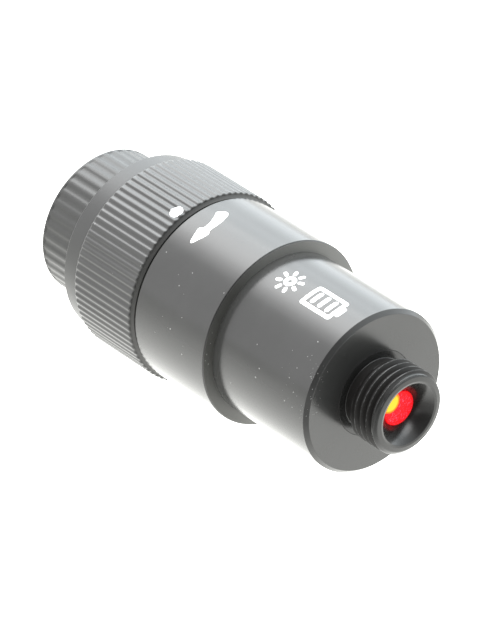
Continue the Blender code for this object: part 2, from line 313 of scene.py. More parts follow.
def anodised(name, tone=(0.0200, 0.0202, 0.0198), rough=0.22, specks=(), edges=(), grain=1.0, dust=0.5, ior=1.5, crest=None, bias=0.0, bright=0.30, painted_lift_belt=None, painted_top_light=None):
    """Satin black anodised aluminium. specks are (s, R, angle, size) lint points, edges are
    (s, R, width) circles where the black has worn thin."""
    g = Nodes(name)
    p = g.mm()
    s, r, a = g.polar()
    # blasted grain, faint turning marks and broad handling haze
    grain_n = g.noise(p, 14.0, 3.0, 0.6)
    turn_n = g.noise(g.combine(g.math("MULTIPLY", s, 9.0), g.math("MULTIPLY", r, 9.0), g.math("MULTIPLY", a, 0.004)), 1.0, 2.0, 0.5)
    haze = g.noise(p, 0.23, 3.0, 0.55, 0.4)
    colour = g.mix(g.remap(haze, 0.3, 0.75), tone, tuple(c * 1.25 for c in tone))
    roughness = g.math("ADD", g.remap(haze, 0.3, 0.7, rough - 0.015, rough + 0.02), g.remap(grain_n, 0.3, 0.7, -0.015, 0.015))
    # a paler belt in front of the step: painted light that lifts the shade and the dark reflection of the step face
    # there
    if painted_lift_belt:
        painted_lift_mask = g.math("MULTIPLY", g.remap(s, painted_lift_belt[0], painted_lift_belt[1], smooth=True), g.remap(s, painted_lift_belt[2], painted_lift_belt[2] + 0.01, 1.0, 0.0))
        colour = g.mix(painted_lift_mask, colour, painted_lift_belt[3])
    # paler towards +Y: painted light, where the light from above falls on the surface
    if painted_top_light:
        split = g.node("ShaderNodeSeparateXYZ")
        g.put(split.inputs[0], p)
        colour = g.mix(g.remap(split.outputs[1], painted_top_light[0], painted_top_light[1], smooth=True), colour, painted_top_light[2])
    # wear at named edges
    wear = None
    for es, er, w in edges:
        d = g.math("SQRT", g.math("ADD", g.math("POWER", g.math("SUBTRACT", s, es), 2.0), g.math("POWER", g.math("SUBTRACT", r, er), 2.0)))
        near = g.remap(d, 0.0, w, 1.0, 0.0)
        wear = near if wear is None else g.math("MAXIMUM", wear, near)
    if crest:
        near = g.math("MULTIPLY", g.remap(r, crest[0], crest[1]), g.remap(s, -0.06, 0.0))
        wear = near if wear is None else g.math("MAXIMUM", wear, near)
    if wear is not None:
        chips = g.noise(p, 4.5, 4.0, 0.72)
        broad = g.noise(p, 0.5, 2.0, 0.5)
        level = g.math("ADD", g.math("MULTIPLY", wear, 0.55), g.math("ADD", g.math("MULTIPLY", chips, 0.55), g.math("MULTIPLY", broad, 0.35)))
        worn = g.remap(level, 0.985 - bias, 1.05 - bias)
        colour = g.mix(g.math("MULTIPLY", worn, 0.8), colour, (bright, bright, bright))
        roughness = g.math("ADD", roughness, g.math("MULTIPLY", worn, 0.05))
        g.set(metal=g.math("MULTIPLY", worn, 0.6))
    # lint and dust
    warped = g.vec("ADD", p, g.vec("SCALE", g.vec("SUBTRACT", g.noise(p, 7.0, 2.0, 0.5, out="Color"), (0.5, 0.5, 0.5)), scale=0.16))
    mask = None
    for ps, pr, pa, w in specks:
        t = math.radians(pa)
        d = g.vec("DISTANCE", warped, (-ps, pr * math.cos(t), pr * math.sin(t)))
        hit = g.remap(d, w * 0.20, w * 0.50, 0.8, 0.0)
        mask = hit if mask is None else g.math("MAXIMUM", mask, hit)
    if dust > 0:
        vor = g.node("ShaderNodeTexVoronoi")
        vor.inputs["Scale"].default_value = 1.15
        g.put(vor.inputs["Vector"], warped)
        sep = g.node("ShaderNodeSeparateColor")
        g.put(sep.inputs[0], vor.outputs["Color"])
        size_v = g.remap(sep.outputs[0], 1.0 - 0.16 * dust, 1.0, 0.0, 0.040)
        hit = g.remap(g.math("SUBTRACT", g.math("DIVIDE", vor.outputs["Distance"], 1.15), size_v), -0.015, 0.0, 0.5, 0.0)
        mask = hit if mask is None else g.math("MAXIMUM", mask, hit)
    if mask is not None:
        colour = g.mix(mask, colour, (0.30, 0.30, 0.295))
        roughness = g.math("ADD", roughness, g.math("MULTIPLY", mask, 0.4))
    height = g.math("ADD", g.math("MULTIPLY", grain_n, grain), g.math("MULTIPLY", turn_n, 0.35 * grain))
    if mask is not None:
        height = g.math("ADD", height, g.math("MULTIPLY", mask, 8.0))
    g.set(color=colour, rough=roughness, ior=ior, normal=g.bump(height, 0.0007))
    return g.mat


def plain(name, colour, rough, metal=0.0, vary=0.15, scale=2.0, depth=0.0010, fine=12.0, ior=1.5, lines=0.0, **extra):
    """A finish with colour variation, roughness variation and fine bump."""
    g = Nodes(name)
    p = g.mm()
    n1 = g.noise(p, scale, 3.0, 0.55)
    n2 = g.noise(p, fine, 3.0, 0.6)
    c = g.mix(g.remap(n1, 0.3, 0.7), tuple(x * (1 - vary) for x in colour), tuple(min(1, x * (1 + vary)) for x in colour))
    h = n2
    if lines:
        s, r, a = g.polar()
        ln = g.noise(g.combine(g.math("MULTIPLY", s, lines), g.math("MULTIPLY", r, lines), g.math("MULTIPLY", a, 0.01)), 1.0, 3.0, 0.6)
        h = g.math("ADD", g.math("MULTIPLY", n2, 0.4), ln)
        c = g.mix(g.remap(ln, 0.3, 0.7, 0.0, 0.35), c, tuple(x * 0.7 for x in colour))
    g.set(color=c, rough=g.remap(n2, 0.3, 0.7, rough - 0.05, rough + 0.06), metal=metal, ior=ior, normal=g.bump(h, depth), **extra)
    return g.mat


def give(obj, mat, body=None, nodes=()):
    obj.data.materials.clear()
    obj.data.materials.append(mat)
    if nodes:
        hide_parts(*nodes)
    if body:
        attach(obj, body)
    return obj


# =====================================================================
# stepped barrel
# =====================================================================
barrel = turned("barrel", [
    (4.10, 4.06, 0.02), (4.10, 7.42, 0.05), (4.46, 7.78, 0.05),
    (16.60, 7.78, 0.0), (16.63, 7.78, 0.0), (16.63, 7.80, 0.0), (16.63, 8.79, 0.03), (16.72, 8.88, 0.03),
    (26.00, 8.88, 0.04), (26.10, 8.78, 0.04), (26.10, 7.90, 0.04), (25.92, 7.74, 0.0),
    (17.90, 7.74, 0.0), (17.90, 6.75, 0.0), (10.30, 6.75, 0.0), (10.30, 5.60, 0.0),
    (6.10, 5.60, 0.0), (6.10, 3.60, 0.0), (4.55, 3.60, 0.0)], cols=240, n=4, sharp=50)
# fine lint, thickest along the front edge
def strew(n, s0, s1, r0, r1, a0, a1, w0, w1):
    return [(float(rng.uniform(s0, s1)), float(rng.uniform(r0, r1)), float(rng.uniform(a0, a1)), float(rng.uniform(w0, w1))) for _ in range(n)]


lint = (strew(16, 4.7, 8.2, 7.78, 7.78, 135, 178, 0.05, 0.10) + strew(12, 4.46, 5.2, 7.78, 7.78, 138, 178, 0.05, 0.09)
        + [(s, 11.88 - 4.10 + s - 4.46, a, w) for s, _, a, w in strew(12, 4.12, 4.44, 0, 0, 138, 176, 0.05, 0.09)]
        + strew(14, 4.10, 4.10, 6.4, 7.35, 138, 176, 0.05, 0.08) + strew(6, 17.0, 25.0, 8.88, 8.88, 120, 185, 0.05, 0.09))
# the barrel's finish, with a paler belt before the step as painted light over the shade there
barrel_mat = anodised("anodised_barrel", specks=lint + [
    (10.7, 7.78, 163, 0.15), (10.9, 7.78, 170, 0.22), (14.2, 7.78, 186, 0.19), (11.8, 7.78, 150, 0.12),
    (6.6, 7.78, 149, 0.13), (7.0, 7.78, 157, 0.14), (6.1, 7.78, 164, 0.15), (7.0, 7.78, 173, 0.16),
    (6.1, 7.78, 128, 0.15), (21.3, 8.88, 134, 0.13), (17.0, 8.88, 134, 0.15), (20.2, 8.88, 159, 0.13),
    (21.3, 8.88, 169, 0.16), (25.2, 8.88, 132, 0.13), (19.5, 8.88, 180, 0.13), (21.9, 8.88, 144, 0.12),
    (16.63, 8.3, 165, 0.12), (16.63, 8.5, 172, 0.13), (16.63, 8.25, 179, 0.14), (16.63, 8.6, 176, 0.10)],
    edges=[(16.66, 8.86, 0.10), (4.12, 7.42, 0.08), (4.46, 7.78, 0.06), (26.05, 8.86, 0.06)], painted_lift_belt=(15.40, 16.35, 16.632, (0.0450, 0.0455, 0.0440)))
give(barrel, barrel_mat, "root", ["barrel_shell"])
# the step's face was turned across and is rougher; its paler colour is painted light, and it is paler still towards +Y
# as painted light from above
face_mat = anodised("anodised_step_face", tone=(0.0400, 0.0404, 0.0370), rough=0.50, grain=1.6, dust=0.3, specks=[
    (16.63, 8.30, 165, 0.14), (16.63, 8.50, 172, 0.15), (16.63, 8.25, 179, 0.16), (16.63, 8.60, 176, 0.12), (16.63, 8.4, 158, 0.10)],
    edges=[(16.66, 8.84, 0.10)], painted_top_light=(-6.4, 0.5, (0.125, 0.126, 0.119)))
barrel.data.materials.append(face_mat)
for f in barrel.data.polygons:
    if abs(S0 - f.center.x / MM - 16.63) < 0.01 and f.normal.x > 0.9:
        f.material_index = 1

# =====================================================================
# threaded nose: M8 x 0.75 right-hand helix cut into a turned stem
# =====================================================================
PITCH = 0.75
THREAD_AT = 165.0          # angle where the crests sit at whole pitches


def thread_radius(s, deg, crest, root, pitch, phase, flat=0.03):
    """Radius of a right-hand 60 degree thread at stations s (array) and angles deg (array)."""
    u = (s - phase + pitch * deg / 360.0) / pitch
    d = np.abs(u - np.round(u)) * pitch
    raw = crest - np.maximum(d - flat, 0) * 1.75
    k = 0.035
    soft = np.maximum(raw, root) + k * np.log1p(np.exp(-np.abs(raw - root) / k)) - k * math.log(2) * np.exp(-np.abs(raw - root) / k)
    return np.clip(soft, root, crest)


cols = 216
deg = np.arange(cols) * 360.0 / cols
sec = rounded([(0.92, 1.66, 0.03), (-0.36, 2.94, 0.10), (-0.42, 3.14, 0.16), (-0.36, 3.56, 0.30), (-0.14, 3.85, 0.22), (0.02, 3.95, 0.0)], closed=False, n=5, support=0.02)
front_rows = [(s, np.full(cols, r)) for s, r in sec[:-1]]
stem_s = np.concatenate([np.arange(0.02, 3.17, 0.03), [3.20, 3.26]])
env = np.interp(stem_s, [0.0, 0.02, 2.72, 2.84, 3.04, 3.14, 3.26], [3.95, 3.95, 3.95, 3.90, 3.52, 3.34, 3.30])
stem_rows = []
for s, e in zip(stem_s, env):
    t = thread_radius(np.full(cols, s), deg - THREAD_AT, 3.95, 3.52, PITCH, 0.0)
    lead = np.clip((s - 0.0) / 0.05, 0, 1)
    stem_rows.append((s, np.minimum(t, e)))
# the tip follows the thread where a groove opens on the front cone
tip_t = thread_radius(np.full(cols, 0.0), deg - THREAD_AT, 3.95, 3.52, PITCH, 0.0)
front_rows = [(s, np.minimum(r, np.maximum(thread_radius(np.full(cols, s), deg - THREAD_AT, 3.95, 3.52, PITCH, 0.0), 3.62)) if s > -0.30 and r[0] > 3.3 else r) for s, r in front_rows]
tail = rounded([(3.26, 3.30, 0), (3.30, 3.30, 0), (4.11, 3.30, 0.05), (4.11, 4.03, 0.02), (4.15, 4.03, 0.0), (4.53, 3.61, 0.02), (4.62, 3.50, 0), (6.20, 3.50, 0), (6.20, 4.80, 0), (7.00, 4.80, 0.05),
                (7.00, 2.05, 0), (5.15, 2.05, 0), (5.15, 1.66, 0), (0.92, 1.66, 0)], closed=False, n=4)
tail_rows = [(s, np.full(cols, r)) for s, r in tail[1:-1]]
rows = front_rows + stem_rows + tail_rows
nose = shell("nose", [q[0] for q in rows], np.array([q[1] for q in rows]), closed=True, sharp=60)
nose_mat = anodised("anodised_nose", tone=(0.0120, 0.0122, 0.0118), rough=0.22, specks=[(-0.3, 3.4, 178, 0.12), (0.05, 3.8, 205, 0.10)],
                    edges=[(0.0, 3.97, 0.09)], dust=0.6, ior=1.44)
give(nose, nose_mat, "root", ["threaded_nose"])
# the thread: dull flanks and roots, crests rubbed bright
thread_mat = anodised("anodised_thread", tone=(0.0105, 0.0100, 0.0095), rough=0.42, grain=2.5, dust=0.8, ior=1.30, crest=(3.86, 3.93), bias=0.02, bright=0.09)
nose.data.materials.append(thread_mat)
for f in nose.data.polygons:
    s_mid = S0 - f.center.x / MM
    if 0.0 < s_mid < 4.05 and math.hypot(f.center.y / MM, f.center.z / MM - AXIS) > 3.25:
        f.material_index = 1

# =====================================================================
# lamp
# =====================================================================
dome = [(0.86 + 0.05 * (r / 1.6) ** 2, r, 0) for r in np.linspace(0, 1.58, 25)] + [(0.93, 1.61, 0), (0.97, 1.635, 0), (1.01, 1.64, 0)]
lamp = turned("lamp", dome + [(5.12, 1.64, 0), (5.20, 1.66, 0), (5.25, 1.93, 0.05), (6.20, 1.93, 0.04), (6.20, 0, 0)], cols=96, closed=False, sharp=50)
g = Nodes("lit_red_lens")
p = g.mm()
flat = g.vec("MULTIPLY", p, (0.0, 1.0, 1.0))
away = g.vec("LENGTH", flat)
fuzz = g.math("MULTIPLY", g.math("SUBTRACT", g.noise(p, 5.0, 2.0, 0.6), 0.5), 0.10)
spot_d = g.math("MAXIMUM", g.math("SUBTRACT", g.vec("DISTANCE", flat, (0.0, -1.0, 0.95)), 0.97), g.math("SUBTRACT", away, 1.56))
spot_d = g.math("ADD", spot_d, fuzz)
spot = g.remap(spot_d, -0.02, 0.07, 1.0, 0.0, smooth=True)
core = g.remap(spot_d, -0.22, -0.04, 1.0, 0.0, smooth=True)
speck = g.remap(g.noise(p, 6.5, 3.0, 0.85), 0.56, 0.63)
rim = g.remap(away, 1.28, 1.62, 0.0, 1.0, smooth=True)
red = g.mix(rim, (0.92, 0.002, 0.010), (0.88, 0.001, 0.004))
red = g.mix(g.math("MULTIPLY", speck, g.remap(rim, 0.0, 0.9, 0.9, 0.15)), red, (1.0, 0.14, 0.26))
red = g.mix(spot, red, (1.0, 0.30, 0.01))
red = g.mix(core, red, (1.0, 0.86, 0.05))
g.set(color=(0.10, 0.002, 0.002), rough=0.55, ior=1.5, spec=0.08, emit=red, emit_strength=1.0)
give(lamp, g.mat, "root", ["led_lens"])

# =====================================================================
# brightness ring: straight rounded knurl, smooth tapered tail
# =====================================================================
TEETH, PER = 82, 14
cols = TEETH * PER
deg = np.arange(cols) * 360.0 / cols
RING_PHASE = -90.0 + 0.59 * 360.0 / TEETH


def tooth(deg, count, phase, soft=0.0):
    """0 at a crest and 1 in a groove, rounded on both."""
    c = np.cos(np.radians((deg - phase) * count))
    h = 0.5 - 0.5 * np.sin(c * math.pi / 2 * (1 - soft)) / math.sin(math.pi / 2 * (1 - soft))
    return h


def ring_tooth(deg):
    return tooth(deg, TEETH, RING_PHASE, 0.25)


RING_DEPTH = 0.100
tt = ring_tooth(deg)
rows = []
base = np.ones(cols)


def add(s, r, depth=0.0):
    rows.append((s, r * base - depth * tt))


# a bevelled lip reaches towards the barrel, so that only a hairline stays open
for s, r in rounded([(26.46, 7.74, 0), (26.46, 8.34, 0), (26.27, 8.34, 0.02), (26.27, 8.78, 0.02), (26.49, 9.00, 0)], closed=False, n=3):
    add(s, r)
add(26.50, 9.04)
add(26.502, 9.10, RING_DEPTH * 0.55)
add(26.515, 9.16, RING_DEPTH * 0.9)
add(26.545, 9.215, RING_DEPTH)
add(26.60, 9.243, RING_DEPTH)
add(26.68, 9.25, RING_DEPTH)
add(26.76, 9.25, RING_DEPTH)
add(30.4, 9.25, RING_DEPTH)
add(34.05, 9.25, RING_DEPTH)
add(34.13, 9.248, RING_DEPTH)
add(34.20, 9.225, RING_DEPTH * 0.9)
add(34.26, 9.17, RING_DEPTH * 0.65)
add(34.31, 9.09, RING_DEPTH * 0.28)
add(34.35, 9.035, RING_DEPTH * 0.05)
add(34.40, 9.012)
for s, r in rounded([(34.44, 9.005, 0), (34.47, 9.0005, 0), (36.33, 8.725, 0.06), (36.50, 8.58, 0.05), (36.50, 8.22, 0.04), (34.65, 8.22, 0), (34.65, 7.74, 0)], closed=False, n=5):
    add(s, r)


def sector_mask(centre, half):
    d = (deg - centre + 180.0) % 360.0 - 180.0
    return np.abs(d) <= half


groove = np.where(sector_mask(315.0 - 105.0, 135.0 + 5.4), 8.30, 7.74)
pocket = np.where(sector_mask(150.0, 33.0), 8.45, 7.74)
add(33.66, 7.74)
rows.append((33.65, groove))
rows.append((32.55, groove))
add(32.54, 7.74)
add(31.21, 7.74)
rows.append((31.20, pocket))
rows.append((28.80, pocket))
add(28.79, 7.74)
ring = shell("brightness_ring", [q[0] for q in rows], np.array([q[1] for q in rows]), closed=True, sharp=60)
ring_mat = anodised("anodised_ring", tone=(0.0235, 0.0237, 0.0235), rough=0.29,
                    specks=[(26.7, 9.2, 146, 0.13), (33.9, 9.2, 140, 0.16), (35.3, 8.88, 153, 0.14), (29.5, 9.2, 158, 0.10)],
                    edges=[(36.42, 8.70, 0.07), (26.55, 9.24, 0.05)], dust=0.4)
give(ring, ring_mat, "control_ring", ["control_ring"])
# the plain tail behind the knurl is blasted duller
tail_mat = anodised("anodised_ring_tail", tone=(0.0205, 0.0207, 0.0205), rough=0.40, edges=[(36.38, 8.72, 0.10)], dust=0.4, ior=1.42, bias=0.08)
ring.data.materials.append(tail_mat)
# the ring's front face in the gap: a rougher copy whose paler colour is painted light, lifting it out of the gap's
# shade
ring.data.materials.append(anodised("anodised_ring_bevel", tone=(0.0300, 0.0300, 0.0285), rough=0.50, dust=0.2, ior=1.45))
for f in ring.data.polygons:
    if S0 - f.center.x / MM > 34.36:
        f.material_index = 1
    elif S0 - f.center.x / MM < 26.51 and f.normal.x > 0.5:
        f.material_index = 2

# =====================================================================
# fluted battery cap with its threaded spigot
# =====================================================================
FLUTES, PER = 40, 22
cols = FLUTES * PER
deg = np.arange(cols) * 360.0 / cols
CAP_PHASE = -90.0 + 0.90 * 360.0 / FLUTES
CAP_DEPTH = 0.088
tt = tooth(deg, FLUTES, CAP_PHASE, 0.30)
base = np.ones(cols)
rows = []
for s, r in rounded([(39.40, 0.0, 0), (39.40, 4.60, 0.15), (32.70, 4.60, 0.04), (32.70, 6.28, 0.05), (32.95, 6.52, 0.0)], closed=False, n=4)[:-1]:
    add(s, r)
for s in np.arange(32.95, 35.60, 0.03):
    e = np.interp(s, [32.95, 35.25, 35.56], [6.53, 6.53, 6.12])
    rows.append((s, np.minimum(thread_radius(np.full(cols, s), deg, 6.53, 6.12, PITCH, 0.0, 0.05), e)))
for s, r in rounded([(35.62, 6.10, 0), (35.80, 6.10, 0.03), (35.84, 6.50, 0.03), (36.36, 6.50, 0.03), (36.40, 6.20, 0.03), (37.02, 6.20, 0.04), (37.02, 6.45, 0.0)], closed=False, n=3):
    add(s, r)
add(37.03, 6.80, CAP_DEPTH * 0.4)
add(37.06, 6.93, CAP_DEPTH * 0.85)
add(37.12, 7.010, CAP_DEPTH)
add(37.18, 7.04, CAP_DEPTH)
add(37.21, 7.04, CAP_DEPTH)
add(39.4, 7.04, CAP_DEPTH)
add(41.38, 7.04, CAP_DEPTH)
add(41.41, 7.04, CAP_DEPTH)
add(41.46, 7.04, CAP_DEPTH * 0.85)
add(41.51, 7.04, CAP_DEPTH * 0.45)
add(41.55, 7.04, CAP_DEPTH * 0.12)
# the flutes run out into a narrow plain rim
add(41.58, 7.04)
add(41.68, 7.04)
add(41.72, 7.036)
add(41.755, 7.02)
add(41.785, 6.99)
add(41.80, 6.95)
add(41.80, 6.90)
add(41.80, 3.0)
add(41.80, 0.0)
cap = shell("cap", [q[0] for q in rows], np.array([q[1] for q in rows]), closed=False, sharp=55)
cap_mat = anodised("anodised_cap", tone=(0.0265, 0.0268, 0.0262), rough=0.36, edges=[(41.75, 7.02, 0.09)], dust=0.4, ior=1.41, bias=0.30, bright=0.16)
give(cap, cap_mat, "battery_cap", ["battery_cap"])

# =====================================================================
# printed white marks: thin shells wrapped on their surfaces
# =====================================================================
def seg_dist(X, A, x0, a0, x1, a1):
    dx, da = x1 - x0, a1 - a0
    t = np.clip(((X - x0) * dx + (A - a0) * da) / (dx * dx + da * da + 1e-12), 0, 1)
    return np.hypot(X - x0 - t * dx, A - a0 - t * da)


def poly_dist(X, A, pts):
    """Signed distance to a closed polygon, negative inside."""
    d = np.full(X.shape, 1e9)
    inside = np.zeros(X.shape, bool)
    n = len(pts)
    for i in range(n):
        (x0, a0), (x1, a1) = pts[i], pts[(i + 1) % n]
        d = np.minimum(d, seg_dist(X, A, x0, a0, x1, a1))
        cond = (a0 > A) != (a1 > A)
        with np.errstate(divide="ignore", invalid="ignore"):
            xi = (x1 - x0) * (A - a0) / (a1 - a0 if a1 != a0 else 1e-12) + x0
        inside ^= cond & (X < xi)
    return np.where(inside, -d, d)


def printed(name, sdf, box, radius, step=0.045, lift=0.012, sink=0.02):
    """Closed thin shell over the area where sdf(s, arc) < 0. box is s0, s1, a0, a1 in mm; arc is
    measured at `radius` when that is a number, or at its crest when it is a function of angle."""
    ref = radius if not callable(radius) else radius(None)
    s0, s1, a0, a1 = box
    ns, na = int((s1 - s0) / step) + 2, int((a1 - a0) / step) + 2
    xs, as_ = s0 + np.arange(ns) * step, a0 + np.arange(na) * step
    X, A = np.meshgrid(xs, as_, indexing="ij")
    D = sdf(X, A)
    tops, cache = [], {}

    def grid_pt(i, j):
        return cache.setdefault(("g", i, j), (tops.append((xs[i], as_[j])), len(tops) - 1)[1])

    def edge_pt(i, j, k, m):
        key = ("e", *min((i, j), (k, m)), *max((i, j), (k, m)))
        if key not in cache:
            d0, d1 = D[i, j], D[k, m]
            t = d0 / (d0 - d1)
            t = min(max(t, 0.08), 0.92)
            tops.append((xs[i] + (xs[k] - xs[i]) * t, as_[j] + (as_[m] - as_[j]) * t))
            cache[key] = len(tops) - 1
        return cache[key]

    faces = []
    for i in range(ns - 1):
        for j in range(na - 1):
            ring4 = [(i, j), (i + 1, j), (i + 1, j + 1), (i, j + 1)]
            ins = [D[q] < 0 for q in ring4]
            if not any(ins):
                continue
            if all(ins):
                faces.append([grid_pt(*q) for q in ring4])
                continue
            f = []
            for k in range(4):
                q, w = ring4[k], ring4[(k + 1) % 4]
                if ins[k]:
                    f.append(grid_pt(*q))
                if ins[k] != ins[(k + 1) % 4]:
                    f.append(edge_pt(*q, *w))
            if ins in ([True, False, True, False], [False, True, False, True]):
                # two opposite corners: keep them apart
                if ins[0]:
                    faces.append([f[0], f[1], f[5]])
                    faces.append([f[2], f[3], f[4]])
                else:
                    faces.append([f[0], f[1], f[2]])
                    faces.append([f[3], f[4], f[5]])
            elif len(f) > 2:
                faces.append(f)
    count = {}
    for f in faces:
        for k in range(len(f)):
            e = (f[k], f[(k + 1) % len(f)])
            count[tuple(sorted(e))] = count.get(tuple(sorted(e)), 0) + 1
    rim = set()
    for e, c in count.items():
        if c == 1:
            rim.update(e)

    def on(sa, extra):
        s, a = sa
        ang = math.degrees(a / ref)
        r = radius(ang) if callable(radius) else radius
        return point(s, r + extra, ang)

    n = len(tops)
    verts = [on(t, lift * (0.55 if i in rim else 1.0)) for i, t in enumerate(tops)] + [on(t, -sink) for t in tops]
    all_faces = [list(f) for f in faces] + [[n + v for v in reversed(f)] for f in faces]
    for f in faces:
        for k in range(len(f)):
            e = (f[k], f[(k + 1) % len(f)])
            if count[tuple(sorted(e))] == 1:
                all_faces.append([e[1], e[0], n + e[0], n + e[1]])
    return finish_mesh(name, verts, all_faces, sharp=60)


def capsule(X, A, p, q, w):
    return seg_dist(X, A, *p, *q) - w / 2


g = Nodes("white_print")
p = g.mm()
n = g.noise(p, 6.0, 3.0, 0.6)
g.set(color=g.mix(g.remap(n, 0.35, 0.7), (0.86, 0.86, 0.85), (0.93, 0.93, 0.93)), rough=0.45, ior=1.5, normal=g.bump(g.noise(p, 18.0, 2.0, 0.5), 0.001))
paint = g.mat

# arrow on the barrel, pointing the way the ring turns brighter (towards larger angles)
R = 8.88
arc = lambda d, r=R: math.radians(d) * r
arrow = [(23.95, 89.9), (23.75, 91.0), (23.62, 92.0), (23.52, 93.5), (23.46, 94.6), (23.38, 95.8), (23.31, 97.2), (23.25, 99.0), (23.22, 101.0),
         (23.20, 103.0), (23.21, 105.5), (23.21, 107.7), (23.08, 108.6), (22.98, 109.5), (22.97, 110.7), (23.00, 112.0), (23.08, 113.5),
         (23.22, 115.0), (23.34, 117.0), (23.46, 118.7), (23.62, 120.0), (23.72, 120.0), (23.83, 118.7), (23.94, 117.0), (24.04, 115.0),
         (24.10, 113.5), (24.18, 112.0), (24.28, 110.8), (24.26, 109.5), (24.07, 108.6), (23.93, 107.8), (23.93, 105.5), (24.00, 103.0),
         (24.11, 101.0), (24.25, 99.0), (24.42, 97.0), (24.62, 95.5), (24.74, 94.3), (24.70, 93.4), (24.53, 92.0), (24.38, 91.0), (24.20, 89.9)]
apts = [(s, arc(d)) for s, d in arrow]
give(printed("ring_arrow_mark", lambda X, A: poly_dist(X, A, apts) - 0.015, (22.3, 25.1, arc(88.5), arc(122.5)), R), paint, "root")

# sun sign for brightness
R2 = 7.78
cs, ca = 13.35, math.radians(103.2) * R2


def sun(X, A):
    d = np.abs(np.hypot(X - cs, A - ca) - 0.40) - 0.20
    for k in range(8):
        t = math.radians(45 * k + 22.5)
        d = np.minimum(d, capsule(X, A, (cs + 0.94 * math.cos(t), ca + 0.94 * math.sin(t)), (cs + 1.24 * math.cos(t), ca + 1.24 * math.sin(t)), 0.36))
    return d


give(printed("brightness_mark", sun, (cs - 1.6, cs + 1.6, ca - 1.6, ca + 1.6), R2, step=0.04), paint, "root")

# battery sign
bs, ba = 8.85, math.radians(103.0) * R2


def battery(X, A):
    qx, qa = np.abs(X - bs) - (1.95 - 0.30), np.abs(A - ba) - (1.30 - 0.30)
    box_d = np.hypot(np.maximum(qx, 0), np.maximum(qa, 0)) + np.minimum(np.maximum(qx, qa), 0) - 0.30
    d = np.abs(box_d + 0.20) - 0.20
    d = np.minimum(d, capsule(X, A, (bs - 2.18, ba - 0.40), (bs - 2.18, ba + 0.40), 0.46))
    for k in (-0.95, 0.0, 0.95):
        d = np.minimum(d, capsule(X, A, (bs + k, ba - 0.52), (bs + k, ba + 0.52), 0.44))
    return d


give(printed("battery_mark", battery, (bs - 2.8, bs + 2.3, ba - 1.7, ba + 1.7), R2, step=0.04), paint, "root")


# index dot on the ring, filling the knurl
def ring_skin(angle):
    if angle is None:
        return 9.25
    return max(9.25 - RING_DEPTH * float(ring_tooth(np.array([angle]))[0]), 9.185)


ds, da = 27.31, math.radians(109.7) * 9.25
give(printed("index_dot_mark", lambda X, A: ((np.abs(X - ds) / 0.57) ** 2.2 + (np.abs(A - da) / 0.63) ** 2.2) ** (1 / 2.2) * 0.60 - 0.60,
             (ds - 0.9, ds + 0.9, da - 0.9, da + 0.9), ring_skin, step=0.04, lift=0.014, sink=0.05), paint, "control_ring")

# =====================================================================
# inner pieces
# =====================================================================
tinned = plain("tinned_metal", (0.70, 0.70, 0.69), 0.24, 1.0, scale=3.0)
steel = plain("drawn_spring_steel", (0.55, 0.55, 0.56), 0.22, 1.0, scale=4.0)
brass = plain("turned_brass", (0.72, 0.53, 0.24), 0.26, 1.0, vary=0.10, lines=9.0)
nickel = plain("nickel_plate", (0.66, 0.65, 0.62), 0.20, 1.0, vary=0.05, lines=5.0, depth=0.0008)
moulded = plain("moulded_black", (0.030, 0.030, 0.030), 0.48, vary=0.15)
nylon = plain("black_nylon", (0.028, 0.028, 0.028), 0.5, vary=0.15)
rubber = plain("nitrile_rubber", (0.018, 0.018, 0.018), 0.55, vary=0.2, fine=20.0)
ceramic = plain("ceramic_body", (0.05, 0.05, 0.06), 0.5, vary=0.1)
carbon = plain("printed_carbon", (0.035, 0.035, 0.036), 0.6, vary=0.25, fine=22.0)
liner_mat = plain("liner_film", (0.75, 0.72, 0.62), 0.35, vary=0.05, trans=0.0, sss=0.1)
tube_mat = anodised("anodised_tube", rough=0.30, dust=0.2, edges=[(36.40, 6.70, 0.12), (36.40, 8.06, 0.05)])

g = Nodes("solder_mask")
p = g.mm()
n = g.noise(p, 1.2, 2.0, 0.5)
s, r, a = g.polar()
ring_pad = g.math("MULTIPLY", g.remap(r, 5.6, 5.7), g.remap(r, 6.5, 6.6, 1.0, 0.0))
g.set(color=g.mix(ring_pad, g.mix(n, (0.02, 0.13, 0.055), (0.03, 0.18, 0.075)), (0.75, 0.62, 0.30)), rough=g.math("SUBTRACT", 0.42, g.math("MULTIPLY", ring_pad, 0.12)),
      metal=ring_pad, normal=g.bump(g.noise(p, 6.0, 3.0, 0.6), 0.002))
board_mat = g.mat


def coil_points(mean_r, wire_r, s0, s1, turns, per_turn):
    pts = []
    n = int(turns * per_turn)
    for i in range(n + 1):
        t = i / n
        dead = 1.0 / turns
        u = min(max((t - dead) / (1 - 2 * dead), 0), 1)
        flat = 2.4 * wire_r
        lift = flat * min(t / dead, 1) + flat * max((t - 1 + dead) / dead, 0)
        s = s0 + wire_r + lift + u * (s1 - s0 - 2 * wire_r - 2 * flat)
        pts.append(point(s, mean_r, -90.0 + math.degrees(2 * math.pi * turns * t)))
    return pts


give(tube("positive_spring", coil_points(2.00, 0.20, 11.60, 21.05, 6, 40), 0.20), steel, "root", ["positive_contact_spring"])
give(tube("cap_contact_spring", coil_points(3.30, 0.25, 32.70, 39.25, 4.5, 48), 0.25), steel, "spring_unit", ["cap_spring"])

sec = [(36.70 + 0.27 * math.cos(math.radians(t)), 6.49 + 0.27 * math.sin(math.radians(t))) for t in range(180, -180, -20)]
give(shell("sealing_ring", [q[0] for q in sec], np.repeat(np.array([[q[1]] for q in sec]), 128, 1), closed=True, sharp=None), rubber, "battery_cap", ["cap_o_ring"])

